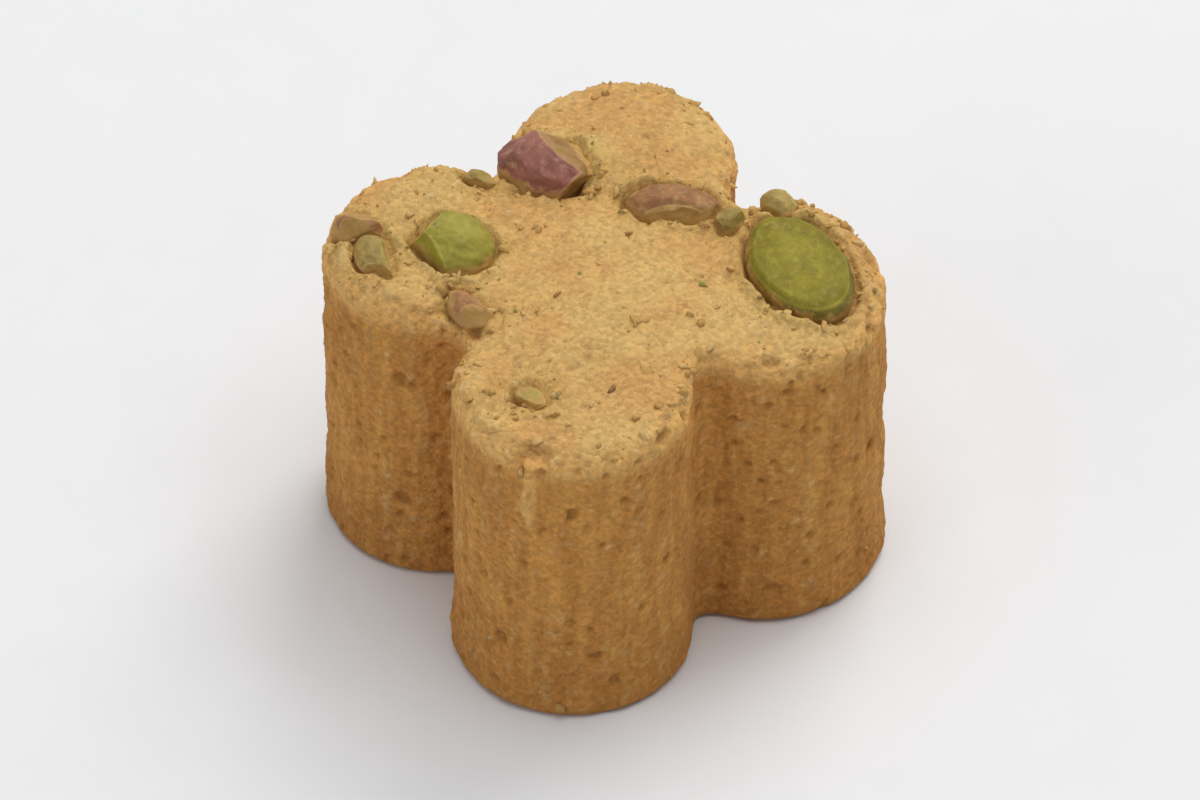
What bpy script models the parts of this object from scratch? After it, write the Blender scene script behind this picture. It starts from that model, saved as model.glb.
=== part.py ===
"""Chickpea flour cookie, a small four-lobed clover cut from a thick sheet of crumbly dough.

Chopped pistachios are pressed into its top. Dough and nuts bake into one piece: the cookie is one solid.
The cookie stands on its flat base, centred on the origin, with +Z up and its lobes on the diagonals.
"""

import math
import random

import bmesh
import bpy
from mathutils import Euler, Matrix, Vector, noise

MM = 0.001

WIDTH = 20.0 * MM
HEIGHT = 15.0 * MM
NOTCH_FILLET = 0.9 * MM
TOP_ROUND = 0.95 * MM
BASE_ROUND = 0.5 * MM
BASE_FLARE = 0.12 * MM
CROWN = 0.25 * MM

VOXEL = 0.4 * MM
BODY_SHARE_KEPT = 0.20
COARSE_RELIEF = 0.16 * MM
COARSE_RELIEF_SPACING = 2.6 * MM
FINE_RELIEF = 0.07 * MM
FINE_RELIEF_SPACING = 1.1 * MM

# The lobes, anticlockwise: X and Y of each middle, and its radius, in millimetres.
# Pressed out by hand, they differ.
LOBES = (
    (4.72, 5.08, 5.20),
    (-5.08, 4.98, 4.85),
    (-5.40, -4.50, 4.80),
    (4.74, -4.90, 5.04),
)

# Soft swells and hollows of the top: X and Y of the middle, height over the crown, and radius,
# in millimetres.
SWELLS = (
    (2.2, -1.6, 0.30, 3.6),
    (-5.6, 5.8, 0.65, 3.4),
    (-7.9, -3.0, 0.45, 1.8),
    (-4.0, -7.9, 0.25, 1.3),
    (7.0, 2.6, -0.25, 1.3),
    (4.4, 9.2, 0.50, 1.9),
    (4.4, -7.6, -0.30, 0.9),
    (7.6, 0.2, 0.30, 1.1),
    (-0.6, -6.9, -0.40, 1.1),
    (-2.6, -8.0, 0.25, 1.0),
)

# The shallow crease that runs from notch to notch in front of the far lobe: its points, in millimetres.
CREASE = ((-8.6, 0.2), (-5.4, 1.6), (-2.6, 3.0), (-0.6, 5.0), (0.3, 8.2))
CREASE_DEPTH = 0.40 * MM
CREASE_HALF_WIDTH = 0.75 * MM

# Nut pieces: name, X, Y, length, breadth and thickness in millimetres, turn and tilt in degrees,
# the share that stands proud of the dough, and how many knife cuts shaped it.
NUTS = (
    ("kernel_slice", 5.3, 6.6, 6.4, 4.0, 2.6, -9, 4, 0.38, 0),
    ("kernel_chunk", -4.6, -4.5, 4.2, 3.6, 3.2, 35, 8, 0.42, 4),
    ("skin_chunk", -6.0, 1.9, 5.0, 3.7, 3.4, 14, 10, 0.48, 5),
    ("skin_sliver", -0.9, 4.7, 4.5, 2.7, 2.6, 40, 6, 0.42, 4),
    ("edge_chip", -7.9, -6.7, 2.4, 1.8, 2.1, 60, 12, 0.44, 5),
    ("lobe_chip", -5.8, -7.3, 3.2, 1.8, 1.8, -10, 8, 0.38, 5),
    ("notch_chip", 1.3, 6.1, 1.8, 1.3, 1.6, 60, 10, 0.44, 5),
    ("far_chip", 1.8, 8.4, 2.4, 1.5, 1.6, 10, 14, 0.42, 5),
    ("gap_chip", -1.1, -5.9, 2.8, 1.4, 1.5, 10, 12, 0.36, 5),
    ("near_chip", 4.7, -7.0, 1.8, 1.1, 1.2, 20, 15, 0.30, 5),
    ("mid_chip", -7.2, -1.1, 1.7, 1.1, 1.3, 50, 15, 0.38, 5),
)
NUT_SEED = 11

DOUGH_COLOUR = (0.60, 0.37, 0.13, 1.0)
DOUGH_ROUGHNESS = 0.92


def clear_scene():
    """Empties the scene, so that only the cookie is in it."""
    for obj in list(bpy.data.objects):
        bpy.data.objects.remove(obj)


def add_to(collection, name, mesh):
    """A new object of that mesh, in that collection."""
    obj = bpy.data.objects.new(name, mesh)
    collection.objects.link(obj)
    return obj


def lobe_circles():
    """Centre and radius of each lobe."""
    return [(Vector((x, y)) * MM, radius * MM) for x, y, radius in LOBES]


def notch_centre(first, second):
    """Centre of the fillet circle that touches two neighbouring lobes from outside."""
    (a, radius_a), (b, radius_b) = first, second
    from_a, from_b = radius_a + NOTCH_FILLET, radius_b + NOTCH_FILLET
    apart = (b - a).length
    along = (apart**2 + from_a**2 - from_b**2) / (2 * apart)
    across = math.sqrt(from_a**2 - along**2)
    direction = (b - a) / apart
    outward = Vector((direction.y, -direction.x))
    return a + direction * along + outward * across


def arc(centre, radius, start, end, steps):
    """Points of an arc from the direction start to the direction end, without its last point."""
    turn = math.remainder(end - start, math.tau)
    return [
        centre + radius * Vector((math.cos(start + turn * i / steps), math.sin(start + turn * i / steps)))
        for i in range(steps)
    ]


def clover_outline(lobe_steps=30, notch_steps=6):
    """The cutter's outline, anticlockwise: a convex arc for each lobe and a concave one for each notch."""
    circles = lobe_circles()
    notches = [notch_centre(circles[i], circles[(i + 1) % 4]) for i in range(4)]
    points = []
    for i, (centre, radius) in enumerate(circles):
        before, after = notches[i - 1] - centre, notches[i] - centre
        start, end = math.atan2(before.y, before.x), math.atan2(after.y, after.x)
        sweep = (end - start) % math.tau
        half = start + sweep / 2
        points += arc(centre, radius, start, half, lobe_steps // 2)
        points += arc(centre, radius, half, end, lobe_steps // 2)
        back = centre - notches[i]
        onward = circles[(i + 1) % 4][0] - notches[i]
        start, end = math.atan2(back.y, back.x), math.atan2(onward.y, onward.x)
        points += arc(notches[i], NOTCH_FILLET, start, end, notch_steps)
    return points


def slab(collection):
    """The cut dough before baking: the outline extruded, rounded at the rim and remeshed evenly."""
    curve = bpy.data.curves.new("clover", "CURVE")
    curve.dimensions = "2D"
    curve.fill_mode = "BOTH"
    curve.extrude = HEIGHT / 2
    points = clover_outline()
    spline = curve.splines.new("POLY")
    spline.points.add(len(points) - 1)
    for spot, point in zip(spline.points, points):
        spot.co = (point.x, point.y, 0, 1)
    spline.use_cyclic_u = True
    flat = add_to(collection, "clover", curve)
    flat.location.z = HEIGHT / 2
    bpy.context.view_layer.update()

    graph = bpy.context.evaluated_depsgraph_get()
    mesh = bpy.data.meshes.new_from_object(flat.evaluated_get(graph))
    mesh.transform(flat.matrix_world)
    bpy.data.objects.remove(flat)
    bm = bmesh.new()
    bm.from_mesh(mesh)
    bmesh.ops.remove_doubles(bm, verts=bm.verts, dist=0.01 * MM)
    for level, width in ((HEIGHT, TOP_ROUND), (0.0, BASE_ROUND)):
        rim = [e for e in bm.edges if e.is_manifold and rim_edge(e, level)]
        bmesh.ops.bevel(bm, geom=rim, offset=width, segments=4, profile=0.5, affect="EDGES")
    bm.to_mesh(mesh)
    bm.free()

    body = add_to(collection, "cookie", mesh)
    remesh = body.modifiers.new("Even skin", "REMESH")
    remesh.mode = "VOXEL"
    remesh.voxel_size = VOXEL
    apply_modifiers(body)
    return body


def rim_edge(edge, level):
    """True for an edge of the outline at that height: it lies there, and one of its faces is a wall."""
    at_level = all(abs(v.co.z - level) < 0.001 * MM for v in edge.verts)
    return at_level and any(abs(f.normal.z) < 0.5 for f in edge.link_faces)


def apply_modifiers(obj):
    """Makes what the modifiers show the object's own mesh."""
    bpy.context.view_layer.update()
    graph = bpy.context.evaluated_depsgraph_get()
    mesh = bpy.data.meshes.new_from_object(obj.evaluated_get(graph))
    obj.modifiers.clear()
    old = obj.data
    obj.data = mesh
    bpy.data.meshes.remove(old)
    mesh.name = obj.name


def crease_depth(x, y):
    """How far the crease lowers the top at this place: a smooth trough along its line."""
    place = Vector((x, y))
    nearest = min(
        distance_to_segment(place, Vector(a) * MM, Vector(b) * MM) for a, b in zip(CREASE, CREASE[1:])
    )
    return CREASE_DEPTH * math.exp(-((nearest / CREASE_HALF_WIDTH) ** 2))


def distance_to_segment(point, a, b):
    """Distance in the plane from a point to the stretch from a to b."""
    along = max(0.0, min(1.0, (point - a).dot(b - a) / (b - a).length_squared))
    return (point - a - (b - a) * along).length


def top_rise(x, y):
    """Height of the top over the slab's flat one: a low crown with swells and hollows, and the crease."""
    rise = -CROWN * (x * x + y * y) / (WIDTH / 2) ** 2
    for mid_x, mid_y, height, radius in SWELLS:
        away = math.hypot(x - mid_x * MM, y - mid_y * MM) / (radius * MM)
        rise += height * MM * math.exp(-away * away)
    return rise - crease_depth(x, y)


def shape_dough(body):
    """Moves the skin by rule: the top rises, fading down the wall, the base flares, the crumb is uneven."""
    bm = bmesh.new()
    bm.from_mesh(body.data)
    bm.normal_update()
    for vert in bm.verts:
        x, y, z = vert.co
        upper = max(0.0, min(1.0, (z / HEIGHT - 0.55) / 0.45))
        lower = max(0.0, 1.0 - z / (0.2 * HEIGHT))
        lumps = COARSE_RELIEF * noise.noise(vert.co / COARSE_RELIEF_SPACING)
        grain = FINE_RELIEF * noise.noise(vert.co / FINE_RELIEF_SPACING)
        free = min(1.0, z / (0.1 * HEIGHT))
        moved = vert.co + vert.normal * (lumps + grain) * free
        moved.z += upper * upper * top_rise(x, y)
        flat = Vector((x, y, 0))
        if flat.length > 0:
            moved += flat.normalized() * BASE_FLARE * lower * lower
        vert.co = moved
    rest_on_plane(bm)
    bm.to_mesh(body.data)
    bm.free()

    thin = body.modifiers.new("Fewer faces", "DECIMATE")
    thin.ratio = BODY_SHARE_KEPT
    apply_modifiers(body)
    bm = bmesh.new()
    bm.from_mesh(body.data)
    rest_on_plane(bm)
    bm.to_mesh(body.data)
    bm.free()


def rest_on_plane(bm):
    """Puts the underside's vertices exactly on the plane that the cookie stands on."""
    for vert in bm.verts:
        if vert.co.z < 0.25 * BASE_ROUND:
            vert.co.z = 0.0


def chopped_nut(length, breadth, thickness, cuts, rng):
    """A piece of nut: a ball planed flat by the knife's random cuts, and drawn out to its size."""
    bm = bmesh.new()
    bmesh.ops.create_icosphere(bm, subdivisions=2, radius=1.0)
    for _ in range(cuts):
        facing = Vector((rng.gauss(0, 1), rng.gauss(0, 1), rng.gauss(0, 0.6))).normalized()
        reach = rng.uniform(0.58, 0.80)
        for vert in bm.verts:
            over = vert.co.dot(facing) - reach
            if over > 0:
                vert.co -= facing * over
    bmesh.ops.scale(bm, vec=(length / 2, breadth / 2, thickness / 2), verts=bm.verts)
    return bm


def add_nuts(collection):
    """Every nut piece, pressed into the top, turned and tilted, with its share proud of the dough."""
    rng = random.Random(NUT_SEED)
    for name, x, y, length, breadth, thickness, turn, tilt, proud, cuts in NUTS:
        bm = chopped_nut(length * MM, breadth * MM, thickness * MM, cuts, rng)
        lie = Euler((math.radians(tilt), 0, math.radians(turn))).to_matrix().to_4x4()
        surface = HEIGHT + top_rise(x * MM, y * MM)
        middle = surface + (proud - 0.5) * thickness * MM
        bm.transform(Matrix.Translation((x * MM, y * MM, middle)) @ lie)
        mesh = bpy.data.meshes.new(name)
        bm.to_mesh(mesh)
        bm.free()
        add_to(collection, name, mesh)


def fuse(body, collection):
    """Joins the nut pieces to the dough by one union, and removes the loose ones."""
    join = body.modifiers.new("Baked in", "BOOLEAN")
    join.operation = "UNION"
    join.operand_type = "COLLECTION"
    join.collection = collection
    join.solver = "EXACT"
    apply_modifiers(body)
    for obj in list(collection.objects):
        bpy.data.objects.remove(obj)
    bpy.data.collections.remove(collection)


def settle(body):
    """Brings the mesh to the cookie's width, which the relief changes a little, and centres its base."""
    points = [v.co for v in body.data.vertices]
    low = Vector(min(p[i] for p in points) for i in range(3))
    high = Vector(max(p[i] for p in points) for i in range(3))
    middle, span = (low + high) / 2, high - low
    to_width = Matrix.Diagonal((WIDTH / span.x, WIDTH / span.y, 1, 1))
    body.data.transform(to_width @ Matrix.Translation((-middle.x, -middle.y, -low.z)))


def dough_material():
    """Matt baked dough."""
    material = bpy.data.materials.new("baked_dough")
    material.use_nodes = True
    shader = material.node_tree.nodes["Principled BSDF"]
    shader.inputs["Base Color"].default_value = DOUGH_COLOUR
    shader.inputs["Roughness"].default_value = DOUGH_ROUGHNESS
    shader.inputs["Metallic"].default_value = 0.0
    return material


def main():
    clear_scene()
    scene = bpy.context.scene.collection
    parts = bpy.data.collections.new("chickpea_cookie")
    toppings = bpy.data.collections.new("toppings")
    scene.children.link(parts)
    scene.children.link(toppings)
    body = slab(parts)
    shape_dough(body)
    add_nuts(toppings)
    fuse(body, toppings)
    settle(body)
    body.data.materials.clear()
    body.data.materials.append(dough_material())
    body.data.shade_smooth()
    body.data.set_sharp_from_angle(angle=math.radians(40))


main()
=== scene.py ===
"""Dressed model of a chickpea flour cookie, a small clover with chopped pistachio baked into its top.

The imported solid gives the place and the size. Its one node is stood for by a dough body with a crumbly skin,
the nut pieces pressed into it, and the crumbs that cling to it. Lengths are in millimetres until they go into
a mesh.
"""

import logging
import math
import random
from dataclasses import dataclass, field
from enum import Enum
from itertools import product

import bpy
import numpy as np
from mathutils import Euler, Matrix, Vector


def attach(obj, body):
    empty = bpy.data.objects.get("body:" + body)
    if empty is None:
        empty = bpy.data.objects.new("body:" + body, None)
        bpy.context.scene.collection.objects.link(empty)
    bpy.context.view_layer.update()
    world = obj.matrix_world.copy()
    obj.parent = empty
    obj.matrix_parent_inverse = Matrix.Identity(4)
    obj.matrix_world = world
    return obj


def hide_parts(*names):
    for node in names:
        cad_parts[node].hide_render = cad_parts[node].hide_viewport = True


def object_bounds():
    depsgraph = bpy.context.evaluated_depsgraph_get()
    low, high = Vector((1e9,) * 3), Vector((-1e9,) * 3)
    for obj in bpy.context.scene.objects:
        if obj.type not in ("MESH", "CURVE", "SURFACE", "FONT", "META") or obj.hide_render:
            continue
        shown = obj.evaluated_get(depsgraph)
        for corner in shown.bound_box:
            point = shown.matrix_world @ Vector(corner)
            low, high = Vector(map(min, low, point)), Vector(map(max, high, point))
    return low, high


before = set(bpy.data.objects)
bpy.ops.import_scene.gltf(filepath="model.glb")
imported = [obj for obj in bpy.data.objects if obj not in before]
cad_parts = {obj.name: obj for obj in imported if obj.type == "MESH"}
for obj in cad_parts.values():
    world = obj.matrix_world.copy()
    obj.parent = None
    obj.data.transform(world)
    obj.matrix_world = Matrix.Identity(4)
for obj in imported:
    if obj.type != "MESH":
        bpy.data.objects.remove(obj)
CAD_BOX = [list(corner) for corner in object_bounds()]

Array = np.ndarray
# Kinds of swells: for each its height, the offset of its random field, and its spacing in millimetres.
Swells = tuple[tuple[float, float, float | tuple[float, float, float]], ...]
MM = 0.001
NODE = "cookie"
BODY = "root"
log = logging.getLogger("cookie")


def smooth_step(low: float, high: float, value: Array) -> Array:
    """An even ramp from 0 to 1 with soft ends.

    Formula: with t the value's share of the way from low to high, kept between 0 and 1, three t squared less
    two t cubed.

    Args:
        low: Value where the ramp starts.
        high: Value where it ends; lower than the start for a falling ramp.
        value: Where it is read.

    Returns:
        The ramp's height at each value.
    """
    share = np.clip((value - low) / (high - low), 0.0, 1.0)
    return share * share * (3.0 - 2.0 * share)


def bell(distance: Array, width: float) -> Array:
    """One at no distance, falling off as e to the minus square of distance over width."""
    return np.exp(-((distance / width) ** 2))


class SolidNoise:
    """Seeded noise that fills space, read at whole arrays of points.

    Attributes:
        TABLE: Entries of its tables, a power of two.
        GAIN: Brings the swells to about minus one to one.
        APART: How far apart in millimetres the fields of two layers lie.
    """

    TABLE = 256
    GAIN = 1.7
    APART = 17.3

    def __init__(self, seed: int) -> None:
        """Draws the tables.

        Args:
            seed: Picks the field; each seed gives an unlike one.
        """
        draw = np.random.default_rng(seed)
        self.order = draw.permutation(self.TABLE)
        slopes = draw.normal(size=(self.TABLE, 3))
        self.slopes = slopes / np.linalg.norm(slopes, axis=1, keepdims=True)
        self.seeds = draw.random((self.TABLE, 3))
        self.lots = draw.random(self.TABLE)

    def entry(self, cell: Array) -> Array:
        """The table entry of each lattice cell, by looking its three numbers up in turn."""
        x, y, z = np.moveaxis(cell, -1, 0)
        last = self.TABLE - 1
        return self.order[(self.order[(self.order[x & last] + y) & last] + z) & last]

    def swell(self, points: Array, spacing: float | tuple[float, float, float]) -> Array:
        """Gradient noise: soft swells and hollows.

        Formula: each lattice corner has a random slope; its slope times the way from the corner is blended
        between the eight corners by the fade curve six t to the fifth less fifteen t to the fourth plus ten t
        cubed.

        Args:
            points: Places in millimetres, any shape ending in 3.
            spacing: Size of a lattice cell, the same all ways or one for each axis.

        Returns:
            Values of about minus one to one.
        """
        place = points / np.asarray(spacing)
        floor = np.floor(place)
        part = place - floor
        cell = floor.astype(np.int64)
        fade = part**3 * (part * (part * 6.0 - 15.0) + 10.0)
        total = np.zeros(points.shape[:-1])
        for corner in product((0, 1), repeat=3):
            slope = self.slopes[self.entry(cell + corner)]
            reach = (slope * (part - corner)).sum(axis=-1)
            total += reach * np.where(corner, fade, 1.0 - fade).prod(axis=-1)
        return total * self.GAIN

    def layers(self, points: Array, spacing: float, octaves: int) -> Array:
        """Swells of the spacing, and of each half of it, each layer half as high as the one before."""
        return sum(self.swell(points + self.APART * k, spacing / 2**k) / 2**k for k in range(octaves))

    def swells(self, points: Array, kinds: Swells) -> Array:
        """Several kinds of swells added up."""
        return sum(height * self.swell(points + offset, spacing) for height, offset, spacing in kinds)

    def grains(self, points: Array, spacing: float) -> tuple[Array, Array]:
        """Cell noise: one grain somewhere in each lattice cell.

        Formula: of the grains in a place's own cell and the 26 round it, the nearest is taken.

        Args:
            points: Places in millimetres, of shape (n, 3).
            spacing: Size of a lattice cell.

        Returns:
            The distance to the nearest grain in cells, and that grain's own random number from 0 to 1.
        """
        place = points / spacing
        cell = np.floor(place).astype(np.int64)
        nearest = np.full(len(points), 9.0)
        lot = np.zeros(len(points))
        for step in product((-1, 0, 1), repeat=3):
            entry = self.entry(cell + step)
            away = np.linalg.norm(cell + step + self.seeds[entry] - place, axis=1)
            closer = away < nearest
            nearest = np.where(closer, away, nearest)
            lot = np.where(closer, self.lots[entry], lot)
        return nearest, lot


@dataclass
class Surface:
    """A closed skin of points and faces, with named numbers on its points.

    Attributes:
        points: Places in millimetres, of shape (n, 3).
        faces: Arrays of point numbers, each of one kind of polygon, wound anticlockwise as seen from outside.
        marks: Named values, one for each point.
    """

    points: Array
    faces: list[Array]
    marks: dict[str, Array] = field(default_factory=dict)

    @staticmethod
    def join(parts: list["Surface"]) -> "Surface":
        """One surface of several that don't touch, with their marks end to end."""
        starts = np.cumsum([0] + [len(part.points) for part in parts[:-1]])
        faces = [ring + start for part, start in zip(parts, starts) for ring in part.faces]
        marks = {name: np.concatenate([part.marks[name] for part in parts]) for name in parts[0].marks}
        return Surface(np.concatenate([part.points for part in parts]), faces, marks)

    def fitted(self, scale: Array, shift: Array) -> "Surface":
        """A copy with every point multiplied by the scale and then moved by the shift."""
        return Surface(self.points * scale + shift, self.faces, self.marks)

    def normals(self) -> Array:
        """Outward directions at the points: the sum of the normals of the faces round each, made one long."""
        total = np.zeros_like(self.points)
        for ring in self.faces:
            corner = self.points[ring]
            across = np.cross(corner[:, 2] - corner[:, 0], corner[:, -1] - corner[:, 1])
            if ring.shape[1] == 3:
                across = np.cross(corner[:, 1] - corner[:, 0], corner[:, 2] - corner[:, 0])
            for column in ring.T:
                np.add.at(total, column, across)
        return total / np.maximum(np.linalg.norm(total, axis=1, keepdims=True), 1e-12)

    def build(self, name: str, material: bpy.types.Material) -> bpy.types.Object:
        """Puts the surface into a new object at the origin.

        Args:
            name: The object's name.
            material: Its only material.

        Returns:
            The object, smooth shaded, with the marks as attributes of its points.
        """
        mesh = bpy.data.meshes.new(name)
        mesh.from_pydata(self.points * MM, [], [face for ring in self.faces for face in ring.tolist()])
        for mark, values in self.marks.items():
            layer = mesh.attributes.new(mark, "FLOAT", "POINT")
            layer.data.foreach_set("value", values.astype(np.float32))
        mesh.shade_smooth()
        mesh.materials.append(material)
        piece = bpy.data.objects.new(name, mesh)
        bpy.context.scene.collection.objects.link(piece)
        return piece


def ball(around: int, down: int) -> Surface:
    """A ball of radius one.

    Formula: with u the turn about Z and v the angle from the top, x = sin v cos u, y = sin v sin u, z = cos
    v, on a grid of u and v with one point at each pole.

    Args:
        around: Points on a ring.
        down: Bands from pole to pole.

    Returns:
        The ball's surface.
    """
    turn = np.linspace(0.0, math.tau, around, endpoint=False)
    fall = np.linspace(0.0, math.pi, down + 1)[1:-1, None]
    rings = np.stack(
        np.broadcast_arrays(np.sin(fall) * np.cos(turn), np.sin(fall) * np.sin(turn), np.cos(fall)), axis=-1
    )
    points = np.concatenate([[[0.0, 0.0, 1.0]], rings.reshape(-1, 3), [[0.0, 0.0, -1.0]]])
    index = 1 + np.arange(around * (down - 1)).reshape(down - 1, around)
    after = np.roll(index, -1, axis=1)
    top = np.stack([np.zeros(around, int), index[0], after[0]], axis=1)
    bands = np.stack([index[:-1], index[1:], after[1:], after[:-1]], axis=-1).reshape(-1, 4)
    bottom = np.stack([np.full(around, len(points) - 1), after[-1], index[-1]], axis=1)
    return Surface(points, [top, bands, bottom])


@dataclass(frozen=True)
class Lobe:
    """One lobe of the clover, a circle.

    Attributes:
        x: Its middle along X, in millimetres.
        y: Its middle along Y.
        radius: Its radius.
    """

    x: float
    y: float
    radius: float


@dataclass(frozen=True)
class CloverOutline:
    """The cutter's outline: a convex arc for each lobe, and a small hollow arc in each notch between two.

    Attributes:
        fillet: Radius of the notches' arcs in millimetres.
        lobe_points: Points on a lobe's arc.
        notch_points: Points on a notch's arc.
        lobes: The four lobes, anticlockwise.
    """

    fillet: float = 0.9
    lobe_points: int = 500
    notch_points: int = 90
    lobes: tuple[Lobe, ...] = (
        Lobe(4.72, 5.08, 5.20),
        Lobe(-5.08, 4.98, 4.85),
        Lobe(-5.40, -4.50, 4.80),
        Lobe(4.74, -4.90, 5.04),
    )

    def path(self) -> Array:
        """The outline as close points, anticlockwise.

        Formula: a notch's circle touches two neighbouring lobes from outside, so its middle is the lobe's
        radius plus its own from each lobe's middle. A lobe's arc runs from the notch before it to the notch
        after it.

        Returns:
            Points of shape (n, 2).
        """
        radius = np.array([lobe.radius for lobe in self.lobes])
        middle = np.array([(lobe.x, lobe.y) for lobe in self.lobes])
        onward = np.roll(middle, -1, axis=0) - middle
        apart = np.linalg.norm(onward, axis=1)
        here, there = radius + self.fillet, np.roll(radius, -1) + self.fillet
        along = (apart**2 + here**2 - there**2) / (2 * apart)
        aside = np.sqrt(here**2 - along**2)
        way = onward / apart[:, None]
        notch = middle + way * along[:, None] + np.stack([way[:, 1], -way[:, 0]], axis=1) * aside[:, None]
        arcs = []
        for i in range(4):
            before, after = notch[i - 1] - middle[i], notch[i] - middle[i]
            start = math.atan2(before[1], before[0])
            sweep = (math.atan2(after[1], after[0]) - start) % math.tau
            arcs.append(self.arc(middle[i], radius[i], start, sweep, self.lobe_points))
            back, ahead = middle[i] - notch[i], middle[(i + 1) % 4] - notch[i]
            start = math.atan2(back[1], back[0])
            sweep = math.remainder(math.atan2(ahead[1], ahead[0]) - start, math.tau)
            arcs.append(self.arc(notch[i], self.fillet, start, sweep, self.notch_points))
        return np.concatenate(arcs)

    @staticmethod
    def arc(middle: Array, radius: float, start: float, sweep: float, count: int) -> Array:
        """Points of an arc without its last: the middle plus the radius times cosine and sine of an angle."""
        angle = start + sweep * np.arange(count) / count
        return middle + radius * np.stack([np.cos(angle), np.sin(angle)], axis=1)

    def walk(self, count: int) -> tuple[Array, Array]:
        """Evenly spaced points round the outline, from the tip of the lobe at +X, -Y.

        Args:
            count: How many points.

        Returns:
            The points and the directions outward from them, both of shape (count, 2).
        """
        path = self.path()
        tip = np.argmax(path @ np.array([1.0, -1.0]))
        path = np.roll(path, -tip, axis=0)
        closed = np.concatenate([path, path[:1]])
        length = np.concatenate([[0.0], np.cumsum(np.linalg.norm(np.diff(closed, axis=0), axis=1))])
        stop = np.linspace(0.0, length[-1], count, endpoint=False)
        points = np.stack([np.interp(stop, length, closed[:, k]) for k in (0, 1)], axis=1)
        ahead = np.roll(points, -1, axis=0) - np.roll(points, 1, axis=0)
        outward = np.stack([ahead[:, 1], -ahead[:, 0]], axis=1)
        return points, outward / np.linalg.norm(outward, axis=1, keepdims=True)


@dataclass(frozen=True)
class CookieTop:
    """The lie of the top over the flat slab: a low crown, swells, hollows, and a crease between two notches.

    Attributes:
        width: The cookie's width in millimetres.
        crown: How much lower the flats' edges are than the middle.
        swells: X, Y, height and radius of each swell, or of a hollow where the height is negative.
        crease: Points of the crease, X and Y.
        crease_depth: Its depth.
        crease_width: Half its width.
    """

    width: float = 20.0
    crown: float = 0.25
    swells: tuple[tuple[float, float, float, float], ...] = (
        (2.2, -1.6, 0.30, 3.6),
        (-5.6, 5.8, 0.65, 3.4),
        (-7.9, -3.0, 0.45, 1.8),
        (-4.0, -7.9, 0.25, 1.3),
        (7.0, 2.6, -0.25, 1.3),
        (4.4, 9.2, 0.50, 1.9),
        (4.4, -7.6, -0.30, 0.9),
        (7.6, 0.2, 0.30, 1.1),
        (-0.6, -6.9, -0.40, 1.1),
        (-2.6, -8.0, 0.25, 1.0),
    )
    crease: tuple[tuple[float, float], ...] = ((-8.6, 0.2), (-5.4, 1.6), (-2.6, 3.0), (-0.6, 5.0), (0.3, 8.2))
    crease_depth: float = 0.40
    crease_width: float = 0.75

    def rise(self, x: Array, y: Array) -> Array:
        """Height over the slab's flat top.

        Formula: minus the crown times the squared distance from the middle over the squared half width, plus
        a bell for each swell, minus a bell of the distance to the crease's line.

        Args:
            x: Places along X in millimetres.
            y: Places along Y.

        Returns:
            The height at each place.
        """
        height = -self.crown * (x * x + y * y) / (self.width / 2) ** 2
        for mid_x, mid_y, lift, radius in self.swells:
            height = height + lift * bell(np.hypot(x - mid_x, y - mid_y), radius)
        return height - self.crease_depth * bell(self.crease_distance(x, y), self.crease_width)

    def crease_distance(self, x: Array, y: Array) -> Array:
        """Distance to the crease: of its stretches, the least way to a point kept between the ends."""
        nearest = np.full(np.shape(x), 99.0)
        for (ax, ay), (bx, by) in zip(self.crease, self.crease[1:]):
            way_x, way_y = bx - ax, by - ay
            share = np.clip(((x - ax) * way_x + (y - ay) * way_y) / (way_x**2 + way_y**2), 0.0, 1.0)
            nearest = np.minimum(nearest, np.hypot(x - ax - share * way_x, y - ay - share * way_y))
        return nearest


class NutKind(Enum):
    """What a nut piece shows: green cut flesh, dull dried flesh, purple or brown skin, or a sliced face."""

    GREEN = "green"
    DRY = "dry"
    PURPLE = "purple"
    BROWN = "brown"
    SLICE = "slice"


@dataclass(frozen=True)
class Nut:
    """One piece of chopped pistachio, pressed into the top.

    Attributes:
        name: The piece's name.
        x: Place of its middle along X, in millimetres.
        y: Place of its middle along Y.
        length: Its longest size.
        breadth: Its size across.
        thickness: Its size upright.
        turn: Degrees that its length is turned from X towards Y.
        tilt: Degrees that it leans.
        proud: Share of its thickness that stands out of the dough.
        cuts: Knife cuts that shaped it.
        kind: What it shows.
    """

    name: str
    x: float
    y: float
    length: float
    breadth: float
    thickness: float
    turn: float
    tilt: float
    proud: float
    cuts: int
    kind: NutKind


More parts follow.
